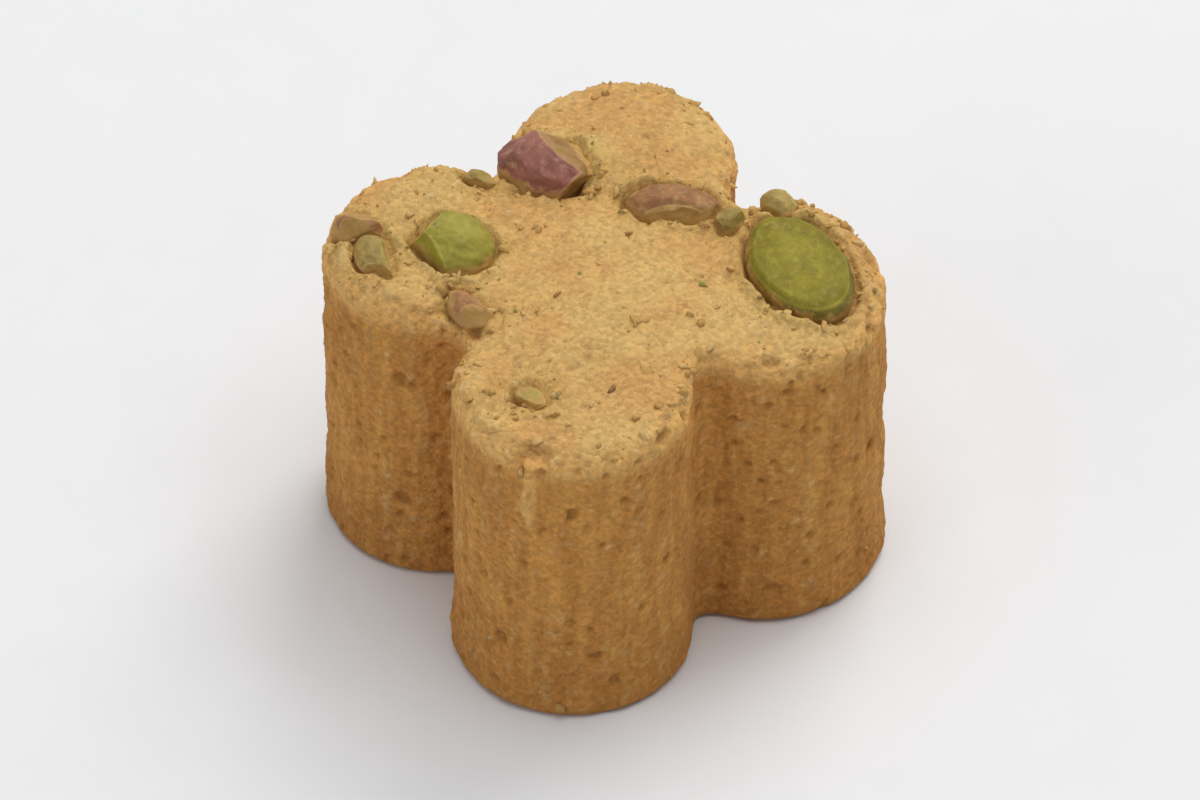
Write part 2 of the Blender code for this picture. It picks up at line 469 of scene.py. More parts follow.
@dataclass(frozen=True)
class Footprint:
    """The outline of a nut piece where it comes out of the dough.

    Attributes:
        x: Place of the piece's middle along X, in millimetres.
        y: Its place along Y.
        breadth: The piece's breadth.
        reach: How far the piece reaches from its middle in each direction, evenly spread from X towards Y.
    """

    x: float
    y: float
    breadth: float
    reach: Array

    @staticmethod
    def of(nut: Nut, points: Array, level: Array, count: int = 72, margin: float = 0.12) -> "Footprint":
        """Reads the outline off a finished piece.

        Formula: of the points above the dough's level, the farthest out in each sector of direction; sectors
        without any take their neighbours' value, and each is then averaged with the two beside it.

        Args:
            nut: The piece.
            points: Its points in millimetres.
            level: The dough's height at each of them.
            count: How many sectors.
            margin: How far below that height points still count as above it.

        Returns:
            The outline.
        """
        out = points[points[:, 2] > level - margin]
        away_x, away_y = out[:, 0] - nut.x, out[:, 1] - nut.y
        sector = np.floor((np.arctan2(away_y, away_x) % math.tau) / math.tau * count).astype(int) % count
        reach = np.zeros(count)
        np.maximum.at(reach, sector, np.hypot(away_x, away_y))
        known = np.flatnonzero(reach > 0)
        reach = np.interp(np.arange(count), known, reach[known], period=count)
        for _ in range(2):
            reach = (np.roll(reach, 1) + 2 * reach + np.roll(reach, -1)) / 4
        return Footprint(nut.x, nut.y, nut.breadth, reach)

    def away(self, points: Array) -> tuple[Array, Array]:
        """Where places lie against the outline.

        Formula: the distance from the middle less the reach that way, over the root of one plus the squared
        slope of the reach, which makes it the shortest way to a slanting edge.

        Args:
            points: Places in millimetres.

        Returns:
            The distance outside the outline, negative inside, and the direction from its middle in radians.
        """
        away_x, away_y = points[:, 0] - self.x, points[:, 1] - self.y
        angle = np.arctan2(away_y, away_x) % math.tau
        count = len(self.reach)
        at = (np.arange(count) + 0.5) * math.tau / count
        slope = (np.roll(self.reach, -1) - np.roll(self.reach, 1)) / (2 * math.tau / count) / self.reach
        reach = np.interp(angle, at, self.reach, period=math.tau)
        slant = np.interp(angle, at, slope, period=math.tau)
        return (np.hypot(away_x, away_y) - reach) / np.sqrt(1.0 + slant**2), angle


NUTS = (
    Nut("kernel_slice", 5.3, 6.6, 6.4, 4.0, 2.6, -9, 4, 0.38, 0, NutKind.SLICE),
    Nut("kernel_chunk", -4.6, -4.5, 4.2, 3.6, 3.2, 35, 8, 0.42, 4, NutKind.GREEN),
    Nut("skin_chunk", -6.0, 1.9, 5.0, 3.7, 3.4, 14, 10, 0.48, 5, NutKind.PURPLE),
    Nut("skin_sliver", -0.9, 4.7, 4.5, 2.7, 2.6, 40, 6, 0.42, 4, NutKind.BROWN),
    Nut("edge_chip", -7.9, -6.7, 2.4, 1.8, 2.1, 60, 12, 0.44, 5, NutKind.BROWN),
    Nut("lobe_chip", -5.8, -7.3, 3.2, 1.8, 1.8, -10, 8, 0.38, 5, NutKind.DRY),
    Nut("notch_chip", 1.3, 6.1, 1.8, 1.3, 1.6, 60, 10, 0.44, 5, NutKind.DRY),
    Nut("far_chip", 1.8, 8.4, 2.4, 1.5, 1.6, 10, 14, 0.42, 5, NutKind.DRY),
    Nut("gap_chip", -1.1, -5.9, 2.8, 1.4, 1.5, 10, 12, 0.36, 5, NutKind.BROWN),
    Nut("near_chip", 4.7, -7.0, 1.8, 1.1, 1.2, 20, 15, 0.30, 5, NutKind.DRY),
    Nut("mid_chip", -7.2, -1.1, 1.7, 1.1, 1.3, 50, 15, 0.38, 5, NutKind.DRY),
)
# Breadth in millimetres from which a nut piece has its full relief and its full seat in the dough.
FULL_BREADTH = 3.0


@dataclass(frozen=True)
class Grit:
    """One kind of grain or pit in the dough: some of the cells of cell noise, raised or sunk.

    Attributes:
        spacing: Size of a cell in millimetres.
        offset: Offset of its random field.
        lots: Range of the grains' own random numbers in which they are used.
        foot: Distance from a grain, in cells, where its slope starts.
        crest: Distance where it has its full height.
        height: That height in millimetres, negative for a pit.
        ragged: Swells of the distance, in cells, that make its outline ragged.
    """

    spacing: float
    offset: float
    lots: tuple[float, float]
    foot: float
    crest: float
    height: float
    ragged: Swells = ()

    def lift(self, noise: SolidNoise, points: Array) -> Array:
        """How far it lifts the dough.

        Formula: the height times a soft ramp of the ragged distance to the nearest grain, where that grain's
        random number lies in the range.

        Args:
            noise: The random fields.
            points: Places in millimetres, of shape (n, 3).

        Returns:
            The lift at each place in millimetres.
        """
        near, lot = noise.grains(points + self.offset, self.spacing)
        near = near + noise.swells(points, self.ragged)
        used = (lot >= self.lots[0]) & (lot < self.lots[1])
        return self.height * used * smooth_step(self.foot, self.crest, near)


@dataclass
class DoughBody:
    """The baked dough: straight cut sides, rounded rim, uneven top, and the seats that the nut pieces lie in.

    Attributes:
        outline: The cutter's outline.
        top: The lie of the top.
        height: Height of the slab in millimetres.
        top_round: Radius of the rim's round.
        base_round: Radius of the base edge's round.
        base_flare: How much wider the base stands.
        flare_share: Share of the height over which it widens.
        cells: Grid cells along a side of the top.
        wall_rows: Rows of points up the wall.
        rim_rows: Rows over the rim's round.
        edge_rows: Rows over the base edge's round.
        base_rows: Rings of points under the base.
        lie_from: Share of the height from which the wall follows the top's lie.
        rim_band: Distances in from the middle of the rim's round between which the wall becomes the top.
        lip: The dough's lip round a nut: its height, how far out it lies, and half its width.
        crevice: The crevice beside a nut: its depth, how far out it lies, and half its width.
        dent: The dent under a nut: its depth, and over what way in from the outline it is reached.
        deep_side: Degrees from X towards Y of the side on which crevices are deepest, away from the light.
        wide_swells: Swells all over.
        crumb: Fine swells all over: height, offset of their random field, and spacing.
        pits: Pits of the crumb, in full only on the top.
        large_grains: The larger grains.
        small_grains: The smaller grains.
        crack_line: Swells whose level of nothing is the cracks' line.
        crack: The cracks' depth, and half their width in units of those swells.
        drag: The cutter's faint upright marks on the wall.
        pores: Pores of the cut wall.
        voids: Torn voids of the cut wall.
        cut_crumb: The cut wall's finer crumb, in the same numbers.
        bites: Bites out of the rim.
        torn_crumb: Torn crumbs on the rim and round the nuts, in the same numbers.
        base_share: Share of the relief that is left on the base, which lay flat on the tray.
        chipped: Where a bit broke away from the rim: X, Y, Z, radius, and how many times taller than wide.
        chip_depth: How deep it broke away.
        ridge: Where torn dough stands out of the wall below it: X, Y, the foot's Z, and half the width.
        ridge_height: How far the ridge stands out.
        seed: Picks the relief's random fields.
    """

    outline: CloverOutline = CloverOutline()
    top: CookieTop = CookieTop()
    height: float = 15.0
    top_round: float = 0.95
    base_round: float = 0.5
    base_flare: float = 0.12
    flare_share: float = 0.2
    cells: int = 150
    wall_rows: int = 100
    rim_rows: int = 14
    edge_rows: int = 4
    base_rows: int = 9
    lie_from: float = 0.55
    rim_band: tuple[float, float] = (-0.8, 0.3)
    lip: tuple[float, float, float] = (0.24, 0.36, 0.26)
    crevice: tuple[float, float, float] = (0.34, 0.06, 0.13)
    dent: tuple[float, float] = (0.60, 0.45)
    deep_side: float = 250
    wide_swells: Swells = ((0.12, 0.0, 2.6), (0.05, 40.0, 1.1))
    crumb: tuple[float, float, float] = (0.030, 80.0, 0.50)
    pits: Grit = Grit(0.80, 0.0, (0.0, 0.07), 0.40, 0.12, -0.12)
    large_grains: Grit = Grit(0.80, 0.0, (0.6, 1.0), 0.45, 0.05, 0.045)
    small_grains: Grit = Grit(0.42, 300.0, (0.45, 1.0), 0.48, 0.10, 0.040)
    crack_line: Swells = ((1.0, 120.0, 2.3), (0.30, 9.0, 0.7))
    crack: tuple[float, float] = (0.13, 0.05)
    drag: Swells = ((0.028, 60.0, (0.60, 0.60, 7.0)), (0.022, 30.0, (0.30, 0.30, 3.5)))
    pores: Grit = Grit(0.60, 700.0, (0.0, 0.20), 0.42, 0.18, -0.16, ((0.14, 35.0, 0.35),))
    voids: Grit = Grit(1.25, 500.0, (0.93, 1.0), 0.36, 0.20, -0.20, ((0.12, 20.0, 0.4),))
    cut_crumb: tuple[float, float, float] = (0.028, 900.0, 0.36)
    bites: Grit = Grit(1.25, 500.0, (0.0, 0.20), 0.50, 0.30, -0.26)
    torn_crumb: tuple[float, float, float] = (0.11, 150.0, 0.60)
    base_share: float = 0.06
    chipped: tuple[float, ...] = (7.35, -8.95, 14.1, 0.95, 1.7)
    chip_depth: float = 0.42
    ridge: tuple[float, ...] = (7.46, -9.13, 10.0, 0.27)
    ridge_height: float = 0.36
    seed: int = 3

    def level(self, x: Array, y: Array) -> Array:
        """Height of the top, before the crumb's relief, at places in millimetres."""
        return self.height + self.top.rise(x, y)

    def profile(self) -> tuple[Array, Array, Array]:
        """The side's rows from the base's flat to the top's.

        Formula: a quarter circle of the base round, a straight wall, and a quarter circle of the rim's round.
        The base stands out by the flare times the squared share of its stretch that is still above.

        Returns:
            How far in from the outline, the height, and the distance up from the middle of the rim's round,
            for each row.
        """
        low = np.linspace(0.0, math.pi / 2, self.edge_rows + 1)[:-1]
        wall = np.linspace(self.base_round, self.height - self.top_round, self.wall_rows)[:-1]
        high = np.linspace(0.0, math.pi / 2, self.rim_rows)
        inset = np.concatenate(
            [self.base_round * (1 - np.sin(low)), np.zeros(len(wall)), self.top_round * (1 - np.cos(high))]
        )
        level = np.concatenate(
            [
                self.base_round * (1 - np.cos(low)),
                wall,
                self.height - self.top_round + self.top_round * np.sin(high),
            ]
        )
        inset = inset - self.base_flare * np.clip(1 - level / (self.flare_share * self.height), 0, 1) ** 2
        step = np.hypot(np.diff(inset), np.diff(level))
        along = np.concatenate([[0.0], np.cumsum(step)])
        return inset, level, along - along[-1] + self.top_round * math.pi / 4

    def top_grid(self, border: Array) -> tuple[Array, Array, Array]:
        """The top's points, on a square grid drawn out to the border.

        Formula: the square's x and y from minus one to one go to the disc at x times the root of one less
        half y squared, and the same with x and y changed round. A point's direction on the disc picks the
        border's point, and its distance from the disc's middle is its share of the way there.

        Args:
            border: The border's points, four times the cells, from the corner at +X, -Y.

        Returns:
            The points inside the border, the number of every grid point counted border first, and the inner
            points' share of the way out.
        """
        count = self.cells
        side = np.linspace(-1.0, 1.0, count + 1)
        x, y = np.meshgrid(side, side, indexing="ij")
        disc_x, disc_y = x * np.sqrt(1 - y * y / 2), y * np.sqrt(1 - x * x / 2)
        last = np.arange(count)
        ring_i = np.concatenate([np.full(count, count), count - last, np.zeros(count, int), last])
        ring_j = np.concatenate([last, np.full(count, count), count - last, np.zeros(count, int)])
        number = np.zeros((count + 1, count + 1), int)
        number[1:-1, 1:-1] = 4 * count + np.arange((count - 1) ** 2).reshape(count - 1, count - 1)
        number[ring_i, ring_j] = np.arange(4 * count)
        start = -math.pi / 4
        ring_angle = (np.arctan2(disc_y[ring_i, ring_j], disc_x[ring_i, ring_j]) - start) % math.tau
        ring_angle[0] = 0.0
        inner_x, inner_y = disc_x[1:-1, 1:-1].ravel(), disc_y[1:-1, 1:-1].ravel()
        angle = (np.arctan2(inner_y, inner_x) - start) % math.tau
        knots = np.append(ring_angle, math.tau)
        looped = np.concatenate([border, border[:1]])
        rim = np.stack([np.interp(angle, knots, looped[:, k]) for k in (0, 1)], axis=1)
        share = np.hypot(inner_x, inner_y)
        return rim * share[:, None], number, share

    def slab(self) -> Surface:
        """The cut dough with its top's lie, before the crumb's relief.

        Formula: the rows of the profile carried round the outline, the base's rings drawn in to the middle,
        and the top's grid. The top's lie moves the wall too, by the squared share of its upper part that is
        below a point.

        Returns:
            The surface, with a mark for the distance in from the middle of the rim's round.
        """
        around = 4 * self.cells
        edge, outward = self.outline.walk(around)
        inset, level, from_rim = self.profile()
        rows = edge - outward * inset[:, None, None]
        share = np.linspace(0.0, 1.0, self.base_rows + 1)[1:-1]
        base = rows[0] * share[:, None, None]
        inner, number, out = self.top_grid(rows[-1])
        flat = np.concatenate([[[0.0, 0.0]], base.reshape(-1, 2), rows.reshape(-1, 2), inner])
        upright = np.concatenate(
            [np.zeros(1 + len(base) * around), np.repeat(level, around), np.full(len(inner), self.height)]
        )
        rim_distance = np.concatenate(
            [
                np.full(1 + len(base) * around, from_rim[0] - 1.0),
                np.repeat(from_rim, around),
                from_rim[-1] + (1 - out) * np.linalg.norm(inner, axis=1) / np.maximum(out, 1e-6),
            ]
        )
        lift = np.clip((upright / self.height - self.lie_from) / (1.0 - self.lie_from), 0, 1) ** 2
        height = upright + lift * self.top.rise(flat[:, 0], flat[:, 1])
        rings = 1 + np.arange((len(base) + len(rows)) * around).reshape(-1, around)
        after = np.roll(rings, -1, axis=1)
        fan = np.stack([np.zeros(around, int), after[0], rings[0]], axis=1)
        side = np.stack([rings[:-1], after[:-1], after[1:], rings[1:]], axis=-1).reshape(-1, 4)
        grid = number + rings[-1, 0]
        cap = np.stack([grid[:-1, :-1], grid[1:, :-1], grid[1:, 1:], grid[:-1, 1:]], axis=-1).reshape(-1, 4)
        points = np.column_stack([flat, height])
        return Surface(points, [fan, side, cap], {"from_rim": rim_distance})

    def seats(self, points: Array, footprints: list[Footprint]) -> tuple[Array, Array]:
        """How the dough moves round the nut pieces.

        Formula: with d the distance outside a piece's outline, made ragged by soft noise, a dent inside it, a
        raised lip that is a bell of d about its own place, higher and lower by the same noise, and a narrow
        crevice that is a bell of d, deeper on the side away from the light. All three are smaller at a small
        piece.

        Args:
            points: The dough's points in millimetres.
            footprints: The pieces' outlines.

        Returns:
            Lift in millimetres, negative where it sinks, and the distance to the nearest outline.
        """
        ragged = SolidNoise(self.seed + 5).swell(points, 0.9)
        lift = np.zeros(len(points))
        nearest = np.full(len(points), 9.0)
        lip, lip_out, lip_half = self.lip
        crevice, crevice_out, crevice_half = self.crevice
        dent, dent_way = self.dent
        for footprint in footprints:
            away, angle = footprint.away(points)
            nearest = np.minimum(nearest, np.abs(away))
            away = away + 0.06 * ragged
            size = min(footprint.breadth / FULL_BREADTH, 1.0)
            deeper = 1.0 + 0.7 * np.cos(angle - math.radians(self.deep_side))
            uneven = np.clip(0.75 + 0.9 * ragged, 0.1, 1.6)
            raised = lip * size * bell(away - lip_out, lip_half) * uneven
            sunk = crevice * size * deeper * bell(away - crevice_out, crevice_half)
            lift += raised - sunk - dent * size * smooth_step(0.0, -dent_way, away)
        return lift, nearest

    def relief(self, slab: Surface, near_nut: Array) -> tuple[Array, Array]:
        """The crumb's relief along the surface's own directions.

        Formula: wide and middling swells all over; on the top fine swells, short cracks and pits; on the wall
        faint upright drag marks, from swells drawn out along Z, a finer crumb, small pores and a few torn
        voids; at the rim bites, which are whole cells of cell noise sunk with steep sides, and torn crumbs,
        which also lie round the nuts; raised grains all over.

        Args:
            slab: The cut dough.
            near_nut: Distance of each point to the nearest nut's outline in millimetres.

        Returns:
            The lift in millimetres, and the fine part of it alone.
        """
        noise = SolidNoise(self.seed)
        points, inward = slab.points, slab.marks["from_rim"]
        on_top = smooth_step(*self.rim_band, inward)
        at_rim = bell(inward + 0.1, 0.55)
        crumb, cut_crumb, torn = (
            height * noise.layers(points + offset, spacing, 2)
            for height, offset, spacing in (self.crumb, self.cut_crumb, self.torn_crumb)
        )
        torn = torn - 0.02
        pits, large, small, pores, voids, bites = (
            grit.lift(noise, points)
            for grit in (self.pits, self.large_grains, self.small_grains, self.pores, self.voids, self.bites)
        )
        depth, half = self.crack
        cracked = smooth_step(0.20, 0.45, noise.swell(points + 200.0, 3.2))
        cracks = -depth * bell(noise.swells(points, self.crack_line), half) * cracked
        cut = noise.swells(points, self.drag) + pores + cut_crumb + voids
        fine = crumb + pits * (0.35 + 0.65 * on_top) + (large + small) + cracks * on_top
        fine = fine + cut * (1.0 - on_top) + (torn + bites) * at_rim
        fine = fine + torn * on_top * 0.8 * bell(near_nut, 0.9)
        free = self.base_share + (1.0 - self.base_share) * smooth_step(0.0, 0.6, points[:, 2])
        return (noise.swells(points, self.wide_swells) + fine) * free, fine * free

    def broken_edge(self, points: Array) -> tuple[Array, Array]:
        """The place on the near lobe's rim where a bit broke away, and the ridge that it tore down the wall.

        Formula: a soft spot about a point on the rim, squeezed upright so that it reaches down the wall, with
        its depth made uneven by noise of small spacing. The ridge is a bell of the level distance to an
        upright line, which noise makes wander, and it fades into the wall at its foot.

        Args:
            points: The dough's points in millimetres.

        Returns:
            How deep the break is at each point and how far the ridge stands out, both in millimetres.
        """
        noise = SolidNoise(self.seed + 9)
        x, y, z, radius, reach = self.chipped
        away = np.hypot(np.hypot(points[:, 0] - x, points[:, 1] - y), (points[:, 2] - z) / reach)
        uneven = 1.0 + 0.8 * noise.layers(points, 0.55, 2)
        ragged = away / radius + 0.15 * noise.swell(points + 70.0, 0.5)
        broken = self.chip_depth * smooth_step(1.0, 0.45, ragged) * uneven
        line_x, line_y, foot, half = self.ridge
        aside = np.hypot(points[:, 0] - line_x, points[:, 1] - line_y)
        aside = aside + 0.16 * noise.swell(points + 11.0, 0.9)
        along = smooth_step(foot, foot + 1.6, points[:, 2]) * smooth_step(z + 0.5, z - 0.7, points[:, 2])
        return broken, self.ridge_height * bell(aside, half) * along * np.clip(0.5 + 0.5 * uneven, 0.3, 1.4)

    def surface(self, footprints: list[Footprint]) -> Surface:
        """The finished dough: the slab, the nuts' seats in its top, and the relief.

        Formula: each point moves along the slab's own direction by the relief, which fades out in a seat,
        less the break and plus the ridge, and then straight up or down by the seat, but not below the floor.

        Args:
            footprints: The nut pieces' outlines.

        Returns:
            The surface, with marks for the distance in from the rim, for the place where a bit broke away,
            for the wall, for the rim's round and the ridge, which get a painted highlight, for hollows, which
            get painted shade, and crests, and for a nut's nearness.
        """
        slab = self.slab()
        inward = slab.marks["from_rim"]
        seat, near = self.seats(slab.points, footprints)
        seat = seat * smooth_step(*self.rim_band, inward)
        broken, ridge = self.broken_edge(slab.points)
        lift, fine = self.relief(slab, near)
        lift = lift * smooth_step(-0.9, -0.1, seat) - broken + ridge
        points = slab.points + slab.normals() * lift[:, None]
        points[:, 2] += seat
        points[:, 2] = np.maximum(points[:, 2], 0.0)
        crumbled = smooth_step(0.03, 0.20, ridge)
        torn = np.maximum(smooth_step(0.05, 0.30, broken), crumbled)
        marks = {
            "from_rim": inward,
            "torn": torn,
            # The wall mark lays on the side's colour, which carries painted shade and reflection as well as
            # the sides' own colour.
            "wall": smooth_step(-0.30, -1.35, inward) * (1.0 - 0.8 * torn),
            # The rim mark carries a painted highlight on the rim's round and the torn ridge.
            "rim": np.maximum(bell(inward + 0.45, 0.60), crumbled),
            # The hollow mark darkens pits, cracks and the crevices round the nuts with painted shade, and
            # pales crests.
            "hollow": np.clip(-(fine + np.minimum(seat, 0.0)) / 0.22, -1.0, 1.0) * (1.0 - torn),
            "by_nut": bell(near, 0.7) * smooth_step(-0.5, 0.2, inward),
        }
        return Surface(points, slab.faces, marks)


@dataclass
class PistachioPieces:
    """The chopped pistachio: each piece a ball planed by knife cuts and drawn out to its size.

    Attributes:
        dough: The dough that they are pressed into.
        seed: Picks the cuts' directions.
        nicks: Shallow cuts on each piece besides its knife cuts.
        large: Length in millimetres above which a piece has the finer grid.
        fine_grid: Points on a ring and bands of a large piece.
        plain_grid: The same of the others.
        cut_reach: Range of a knife cut's distance from the ball's middle.
        nick_reach: Range of a nick's distance, as a share of the piece's own reach that way.
        drawn_out: How many times longer than wide the skin's wrinkles are.
        wrinkles: The skin's wrinkles: height and spacing.
        torn: The cut flesh's torn grain: height and spacing.
        dents: Soft dents over both: height and spacing.
        smooth_share: Share of the torn grain that the sliced face shows.
        smear: Height above the dough in millimetres up to which it is smeared on a piece.
    """

    dough: DoughBody
    seed: int = 11
    nicks: int = 9
    large: float = 3.0
    fine_grid: tuple[int, int] = (112, 72)
    plain_grid: tuple[int, int] = (64, 40)
    cut_reach: tuple[float, float] = (0.58, 0.80)
    nick_reach: tuple[float, float] = (0.86, 0.95)
    drawn_out: float = 2.6
    wrinkles: tuple[float, float] = (0.060, 0.42)
    torn: tuple[float, float] = (0.055, 0.55)
    dents: tuple[float, float] = (0.07, 1.5)
    smooth_share: float = 0.35
    smear: float = 0.55

    def chopped(self) -> dict[str, Surface]:
        """Every piece at its place.

        Formula: a ball is cut, nicked or sliced, stretched to half the piece's sizes, roughened, leant,
        turned and set at its height in the top.

        Returns:
            The surfaces by name, with marks for the uncut outer side, for the edges between it and the cuts,
            for the foot where it leaves the dough, and for each piece's own tone, which on the slice fades
            from its middle.
        """
        draw = random.Random(self.seed)
        shallow = np.random.default_rng(self.seed)
        made = {}
        for nut in NUTS:
            shape = ball(*(self.fine_grid if nut.length > self.large else self.plain_grid))
            points, cut = self.cut_ball(shape.points, nut.cuts, draw)
            if nut.kind is NutKind.SLICE:
                points, cut = self.sliced(points)
            else:
                points = self.nicked(points, shallow)
            size = np.array([nut.length, nut.breadth, nut.thickness]) / 2
            marks = {
                "outer": 1.0 - smooth_step(0.0, 0.05, cut),
                "edge": bell(cut - 0.03, 0.025),
                "tone": np.full(len(points), shallow.random()),
            }
            if nut.kind is NutKind.SLICE:
                marks["tone"] = 1.1 - 0.9 * np.hypot(points[:, 0], points[:, 1]) ** 3
            local = self.weathered(Surface(points * size, shape.faces, marks), nut)
            lie = np.array(Euler((math.radians(nut.tilt), 0, math.radians(nut.turn))).to_matrix())
            height = float(self.dough.level(np.float64(nut.x), np.float64(nut.y)))
            middle = np.array([nut.x, nut.y, height + (nut.proud - 0.5) * nut.thickness])
            points = local.points @ lie.T + middle
            above = points[:, 2] - self.dough.level(points[:, 0], points[:, 1])
            marks["foot"] = smooth_step(self.smear, 0.0, above)
            made[nut.name] = Surface(points, shape.faces, marks)
        return made

    def cut_ball(self, points: Array, cuts: int, draw: random.Random) -> tuple[Array, Array]:
        """Planes a ball by knife cuts, which are more often upright than level.

        Formula: a point past a cut's plane moves back onto it along the plane's normal.

        Args:
            points: The ball's points.
            cuts: How many cuts.
            draw: Gives their directions and distances.

        Returns:
            The points, and the farthest that a cut moved each.
        """
        cut = np.zeros(len(points))
        for _ in range(cuts):
            facing = np.array(Vector([draw.gauss(0, spread) for spread in (1, 1, 0.6)]).normalized())
            over = np.maximum(points @ facing - draw.uniform(*self.cut_reach), 0.0)
            points = points - over[:, None] * facing
            cut = np.maximum(cut, over)
        return points, cut

    @staticmethod
    def sliced(points: Array) -> tuple[Array, Array]:
        """Opens the ball as a half kernel: its upper side becomes a low face with a raised rim all round.

        Formula: with r the way out from the middle, the face's height is 0.76 less 0.06 times r to the
        fourth. A bell about r of 0.90 raises its rim by 0.10, and one about its long middle line raises that
        by 0.05. The sides are as full as a ball of the third power.

        Args:
            points: The ball's points.

        Returns:
            The points, and a cut of 0.1 on the open face that fades to nothing at its rim and underneath.
        """
        out = np.hypot(points[:, 0], points[:, 1])
        face = 0.76 - 0.06 * out**4 + 0.10 * bell(out - 0.90, 0.06) + 0.05 * bell(points[:, 1], 0.35)
        full = (1.0 - np.clip(out, 0, 1) ** 3.0) ** (1 / 3.0)
        upper = points[:, 2] > 0
        height = np.where(upper, np.minimum(face, full), points[:, 2])
        open_face = smooth_step(0.96, 0.88, out) * upper
        return np.column_stack([points[:, :2], height]), open_face * 0.1

    def nicked(self, points: Array, draw: np.random.Generator) -> Array:
        """Planes small facets off a piece, which leaves it as crisp as the knife does.

        Formula: the same as a knife cut, with the plane only a little inside the piece's own reach that way.

        Args:
            points: The piece's points, before it is drawn out to its size.
            draw: Gives the directions.

        Returns:
            The points.
        """
        for _ in range(self.nicks):
            facing = draw.normal(size=3)
            facing /= np.linalg.norm(facing)
            reach = (points @ facing).max() * draw.uniform(*self.nick_reach)
            points = points - np.maximum(points @ facing - reach, 0.0)[:, None] * facing
        return points

    def weathered(self, piece: Surface, nut: Nut) -> Surface:
        """Adds the piece's own relief: wrinkles along the skin, a torn grain where the flesh is cut.

        Formula: the wrinkles are layered swells drawn out along the piece, the grain is layered swells of
        finer spacing, and soft dents go over both.

        Args:
            piece: The smooth piece in its own frame, its length along X.
            nut: What it is.

        Returns:
            The piece, moved along its own directions.
        """
        noise = SolidNoise(self.seed + len(nut.name))
        outer = piece.marks["outer"]
        size = min(nut.breadth / FULL_BREADTH, 1.0) ** 0.5
        drawn = piece.points / np.array([self.drawn_out, 1.0, 1.0]) + nut.x
        (wrinkle, wrinkle_gap), (tear, tear_gap), (dent, dent_gap) = self.wrinkles, self.torn, self.dents
        wrinkles = wrinkle * noise.layers(drawn, wrinkle_gap, 2) * outer
        share = self.smooth_share if nut.kind is NutKind.SLICE else 1.0
        torn = tear * noise.layers(piece.points + nut.y, tear_gap, 3) * (1.0 - outer)
        dents = dent * noise.swell(piece.points + 50.0 + nut.x, dent_gap)
        lift = size * (wrinkles + torn * share + dents)
        return Surface(piece.points + piece.normals() * lift[:, None], piece.faces, piece.marks)

    @staticmethod
    def by_kind(made: dict[str, Surface]) -> dict[NutKind, Surface]:
        """The pieces of each kind as one surface."""
        return {kind: Surface.join([made[nut.name] for nut in NUTS if nut.kind is kind]) for kind in NutKind}

    def footprints(self, made: dict[str, Surface]) -> list[Footprint]:
        """The outlines that the pieces press into the dough."""
        places = [(nut, made[nut.name].points) for nut in NUTS]
        return [Footprint.of(nut, place, self.dough.level(place[:, 0], place[:, 1])) for nut, place in places]


@dataclass
class Scatter:
    """Small lumps that cling to the dough: crumbs of it, or chips of nut.

    Attributes:
        dough: The dough's surface.
        likely: How likely each of its points is to hold one.
        count: How many lumps.
        smallest: Radius of the smallest in millimetres.
        largest: Radius of the largest.
        sunk: Share of the radius that a lump's middle stands over the dough; negative where it is buried.
        seed: Picks places and shapes.
        cuts: How many random cuts plane each lump.
        cut_reach: Their distance from its middle, in units of the ball.
    """

    dough: Surface
    likely: Array
    count: int
    smallest: float
    largest: float
    sunk: float
    seed: int
    cuts: int = 5
    cut_reach: float = 0.5

    def surface(self) -> Surface:
        """All the lumps.

        Formula: a low ball's points, each moved in or out by up to three tenths, planed by random cuts,
        stretched by three random shares of the lump's radius, turned by a random rotation and set on a point
        of the dough. Radii follow the fourth power of a random number, so most are small.

        Returns:
            The lumps as one surface, with a mark for each lump's own tone.
        """
        draw = np.random.default_rng(self.seed)
        chosen = draw.choice(len(self.likely), self.count, replace=False, p=self.likely / self.likely.sum())
        shape = ball(9, 6)
        radius = self.smallest + (self.largest - self.smallest) * draw.random(self.count) ** 4
        stretch = radius[:, None] * draw.uniform(0.5, 1.4, (self.count, 3))
        knobs = 1.0 + draw.uniform(-0.3, 0.3, (self.count, len(shape.points), 1))
        lumps = shape.points * knobs
        for _ in range(self.cuts):
            facing = draw.normal(size=(self.count, 1, 3))
            facing /= np.linalg.norm(facing, axis=2, keepdims=True)
            over = (lumps * facing).sum(axis=2, keepdims=True) - self.cut_reach
            lumps = lumps - np.maximum(over, 0.0) * facing
        turns, _ = np.linalg.qr(draw.normal(size=(self.count, 3, 3)))
        turns *= np.linalg.det(turns)[:, None, None]
        lumps = (lumps * stretch[:, None, :]) @ turns
        place = self.dough.points[chosen] + self.dough.normals()[chosen] * radius[:, None] * self.sunk
        points = (lumps + place[:, None, :]).reshape(-1, 3)
        points[:, 2] = np.maximum(points[:, 2], 0.02)
        starts = np.arange(self.count)[:, None, None] * len(shape.points)
        faces = [(ring[None] + starts).reshape(-1, ring.shape[1]) for ring in shape.faces]
        tone = np.repeat(draw.random(self.count), len(shape.points))
        return Surface(points, faces, {"tone": tone})


def linear(colour: str) -> tuple[float, float, float, float]:
    """An sRGB colour such as #CFA666 as linear red, green, blue and an alpha of one."""
    parts = [int(colour[i : i + 2], 16) / 255 for i in (1, 3, 5)]
    return (*(p / 12.92 if p <= 0.04045 else ((p + 0.055) / 1.055) ** 2.4 for p in parts), 1.0)


def per_metre(size_mm: float) -> float:
    """A pattern's scale on object coordinates, for features of this size in millimetres."""
    return 1.0 / (size_mm * MM)


# Sockets of a colour Mix node, whose names repeat for its other kinds of value.
COLOUR_A, COLOUR_B, COLOUR_OUT = 6, 7, 2


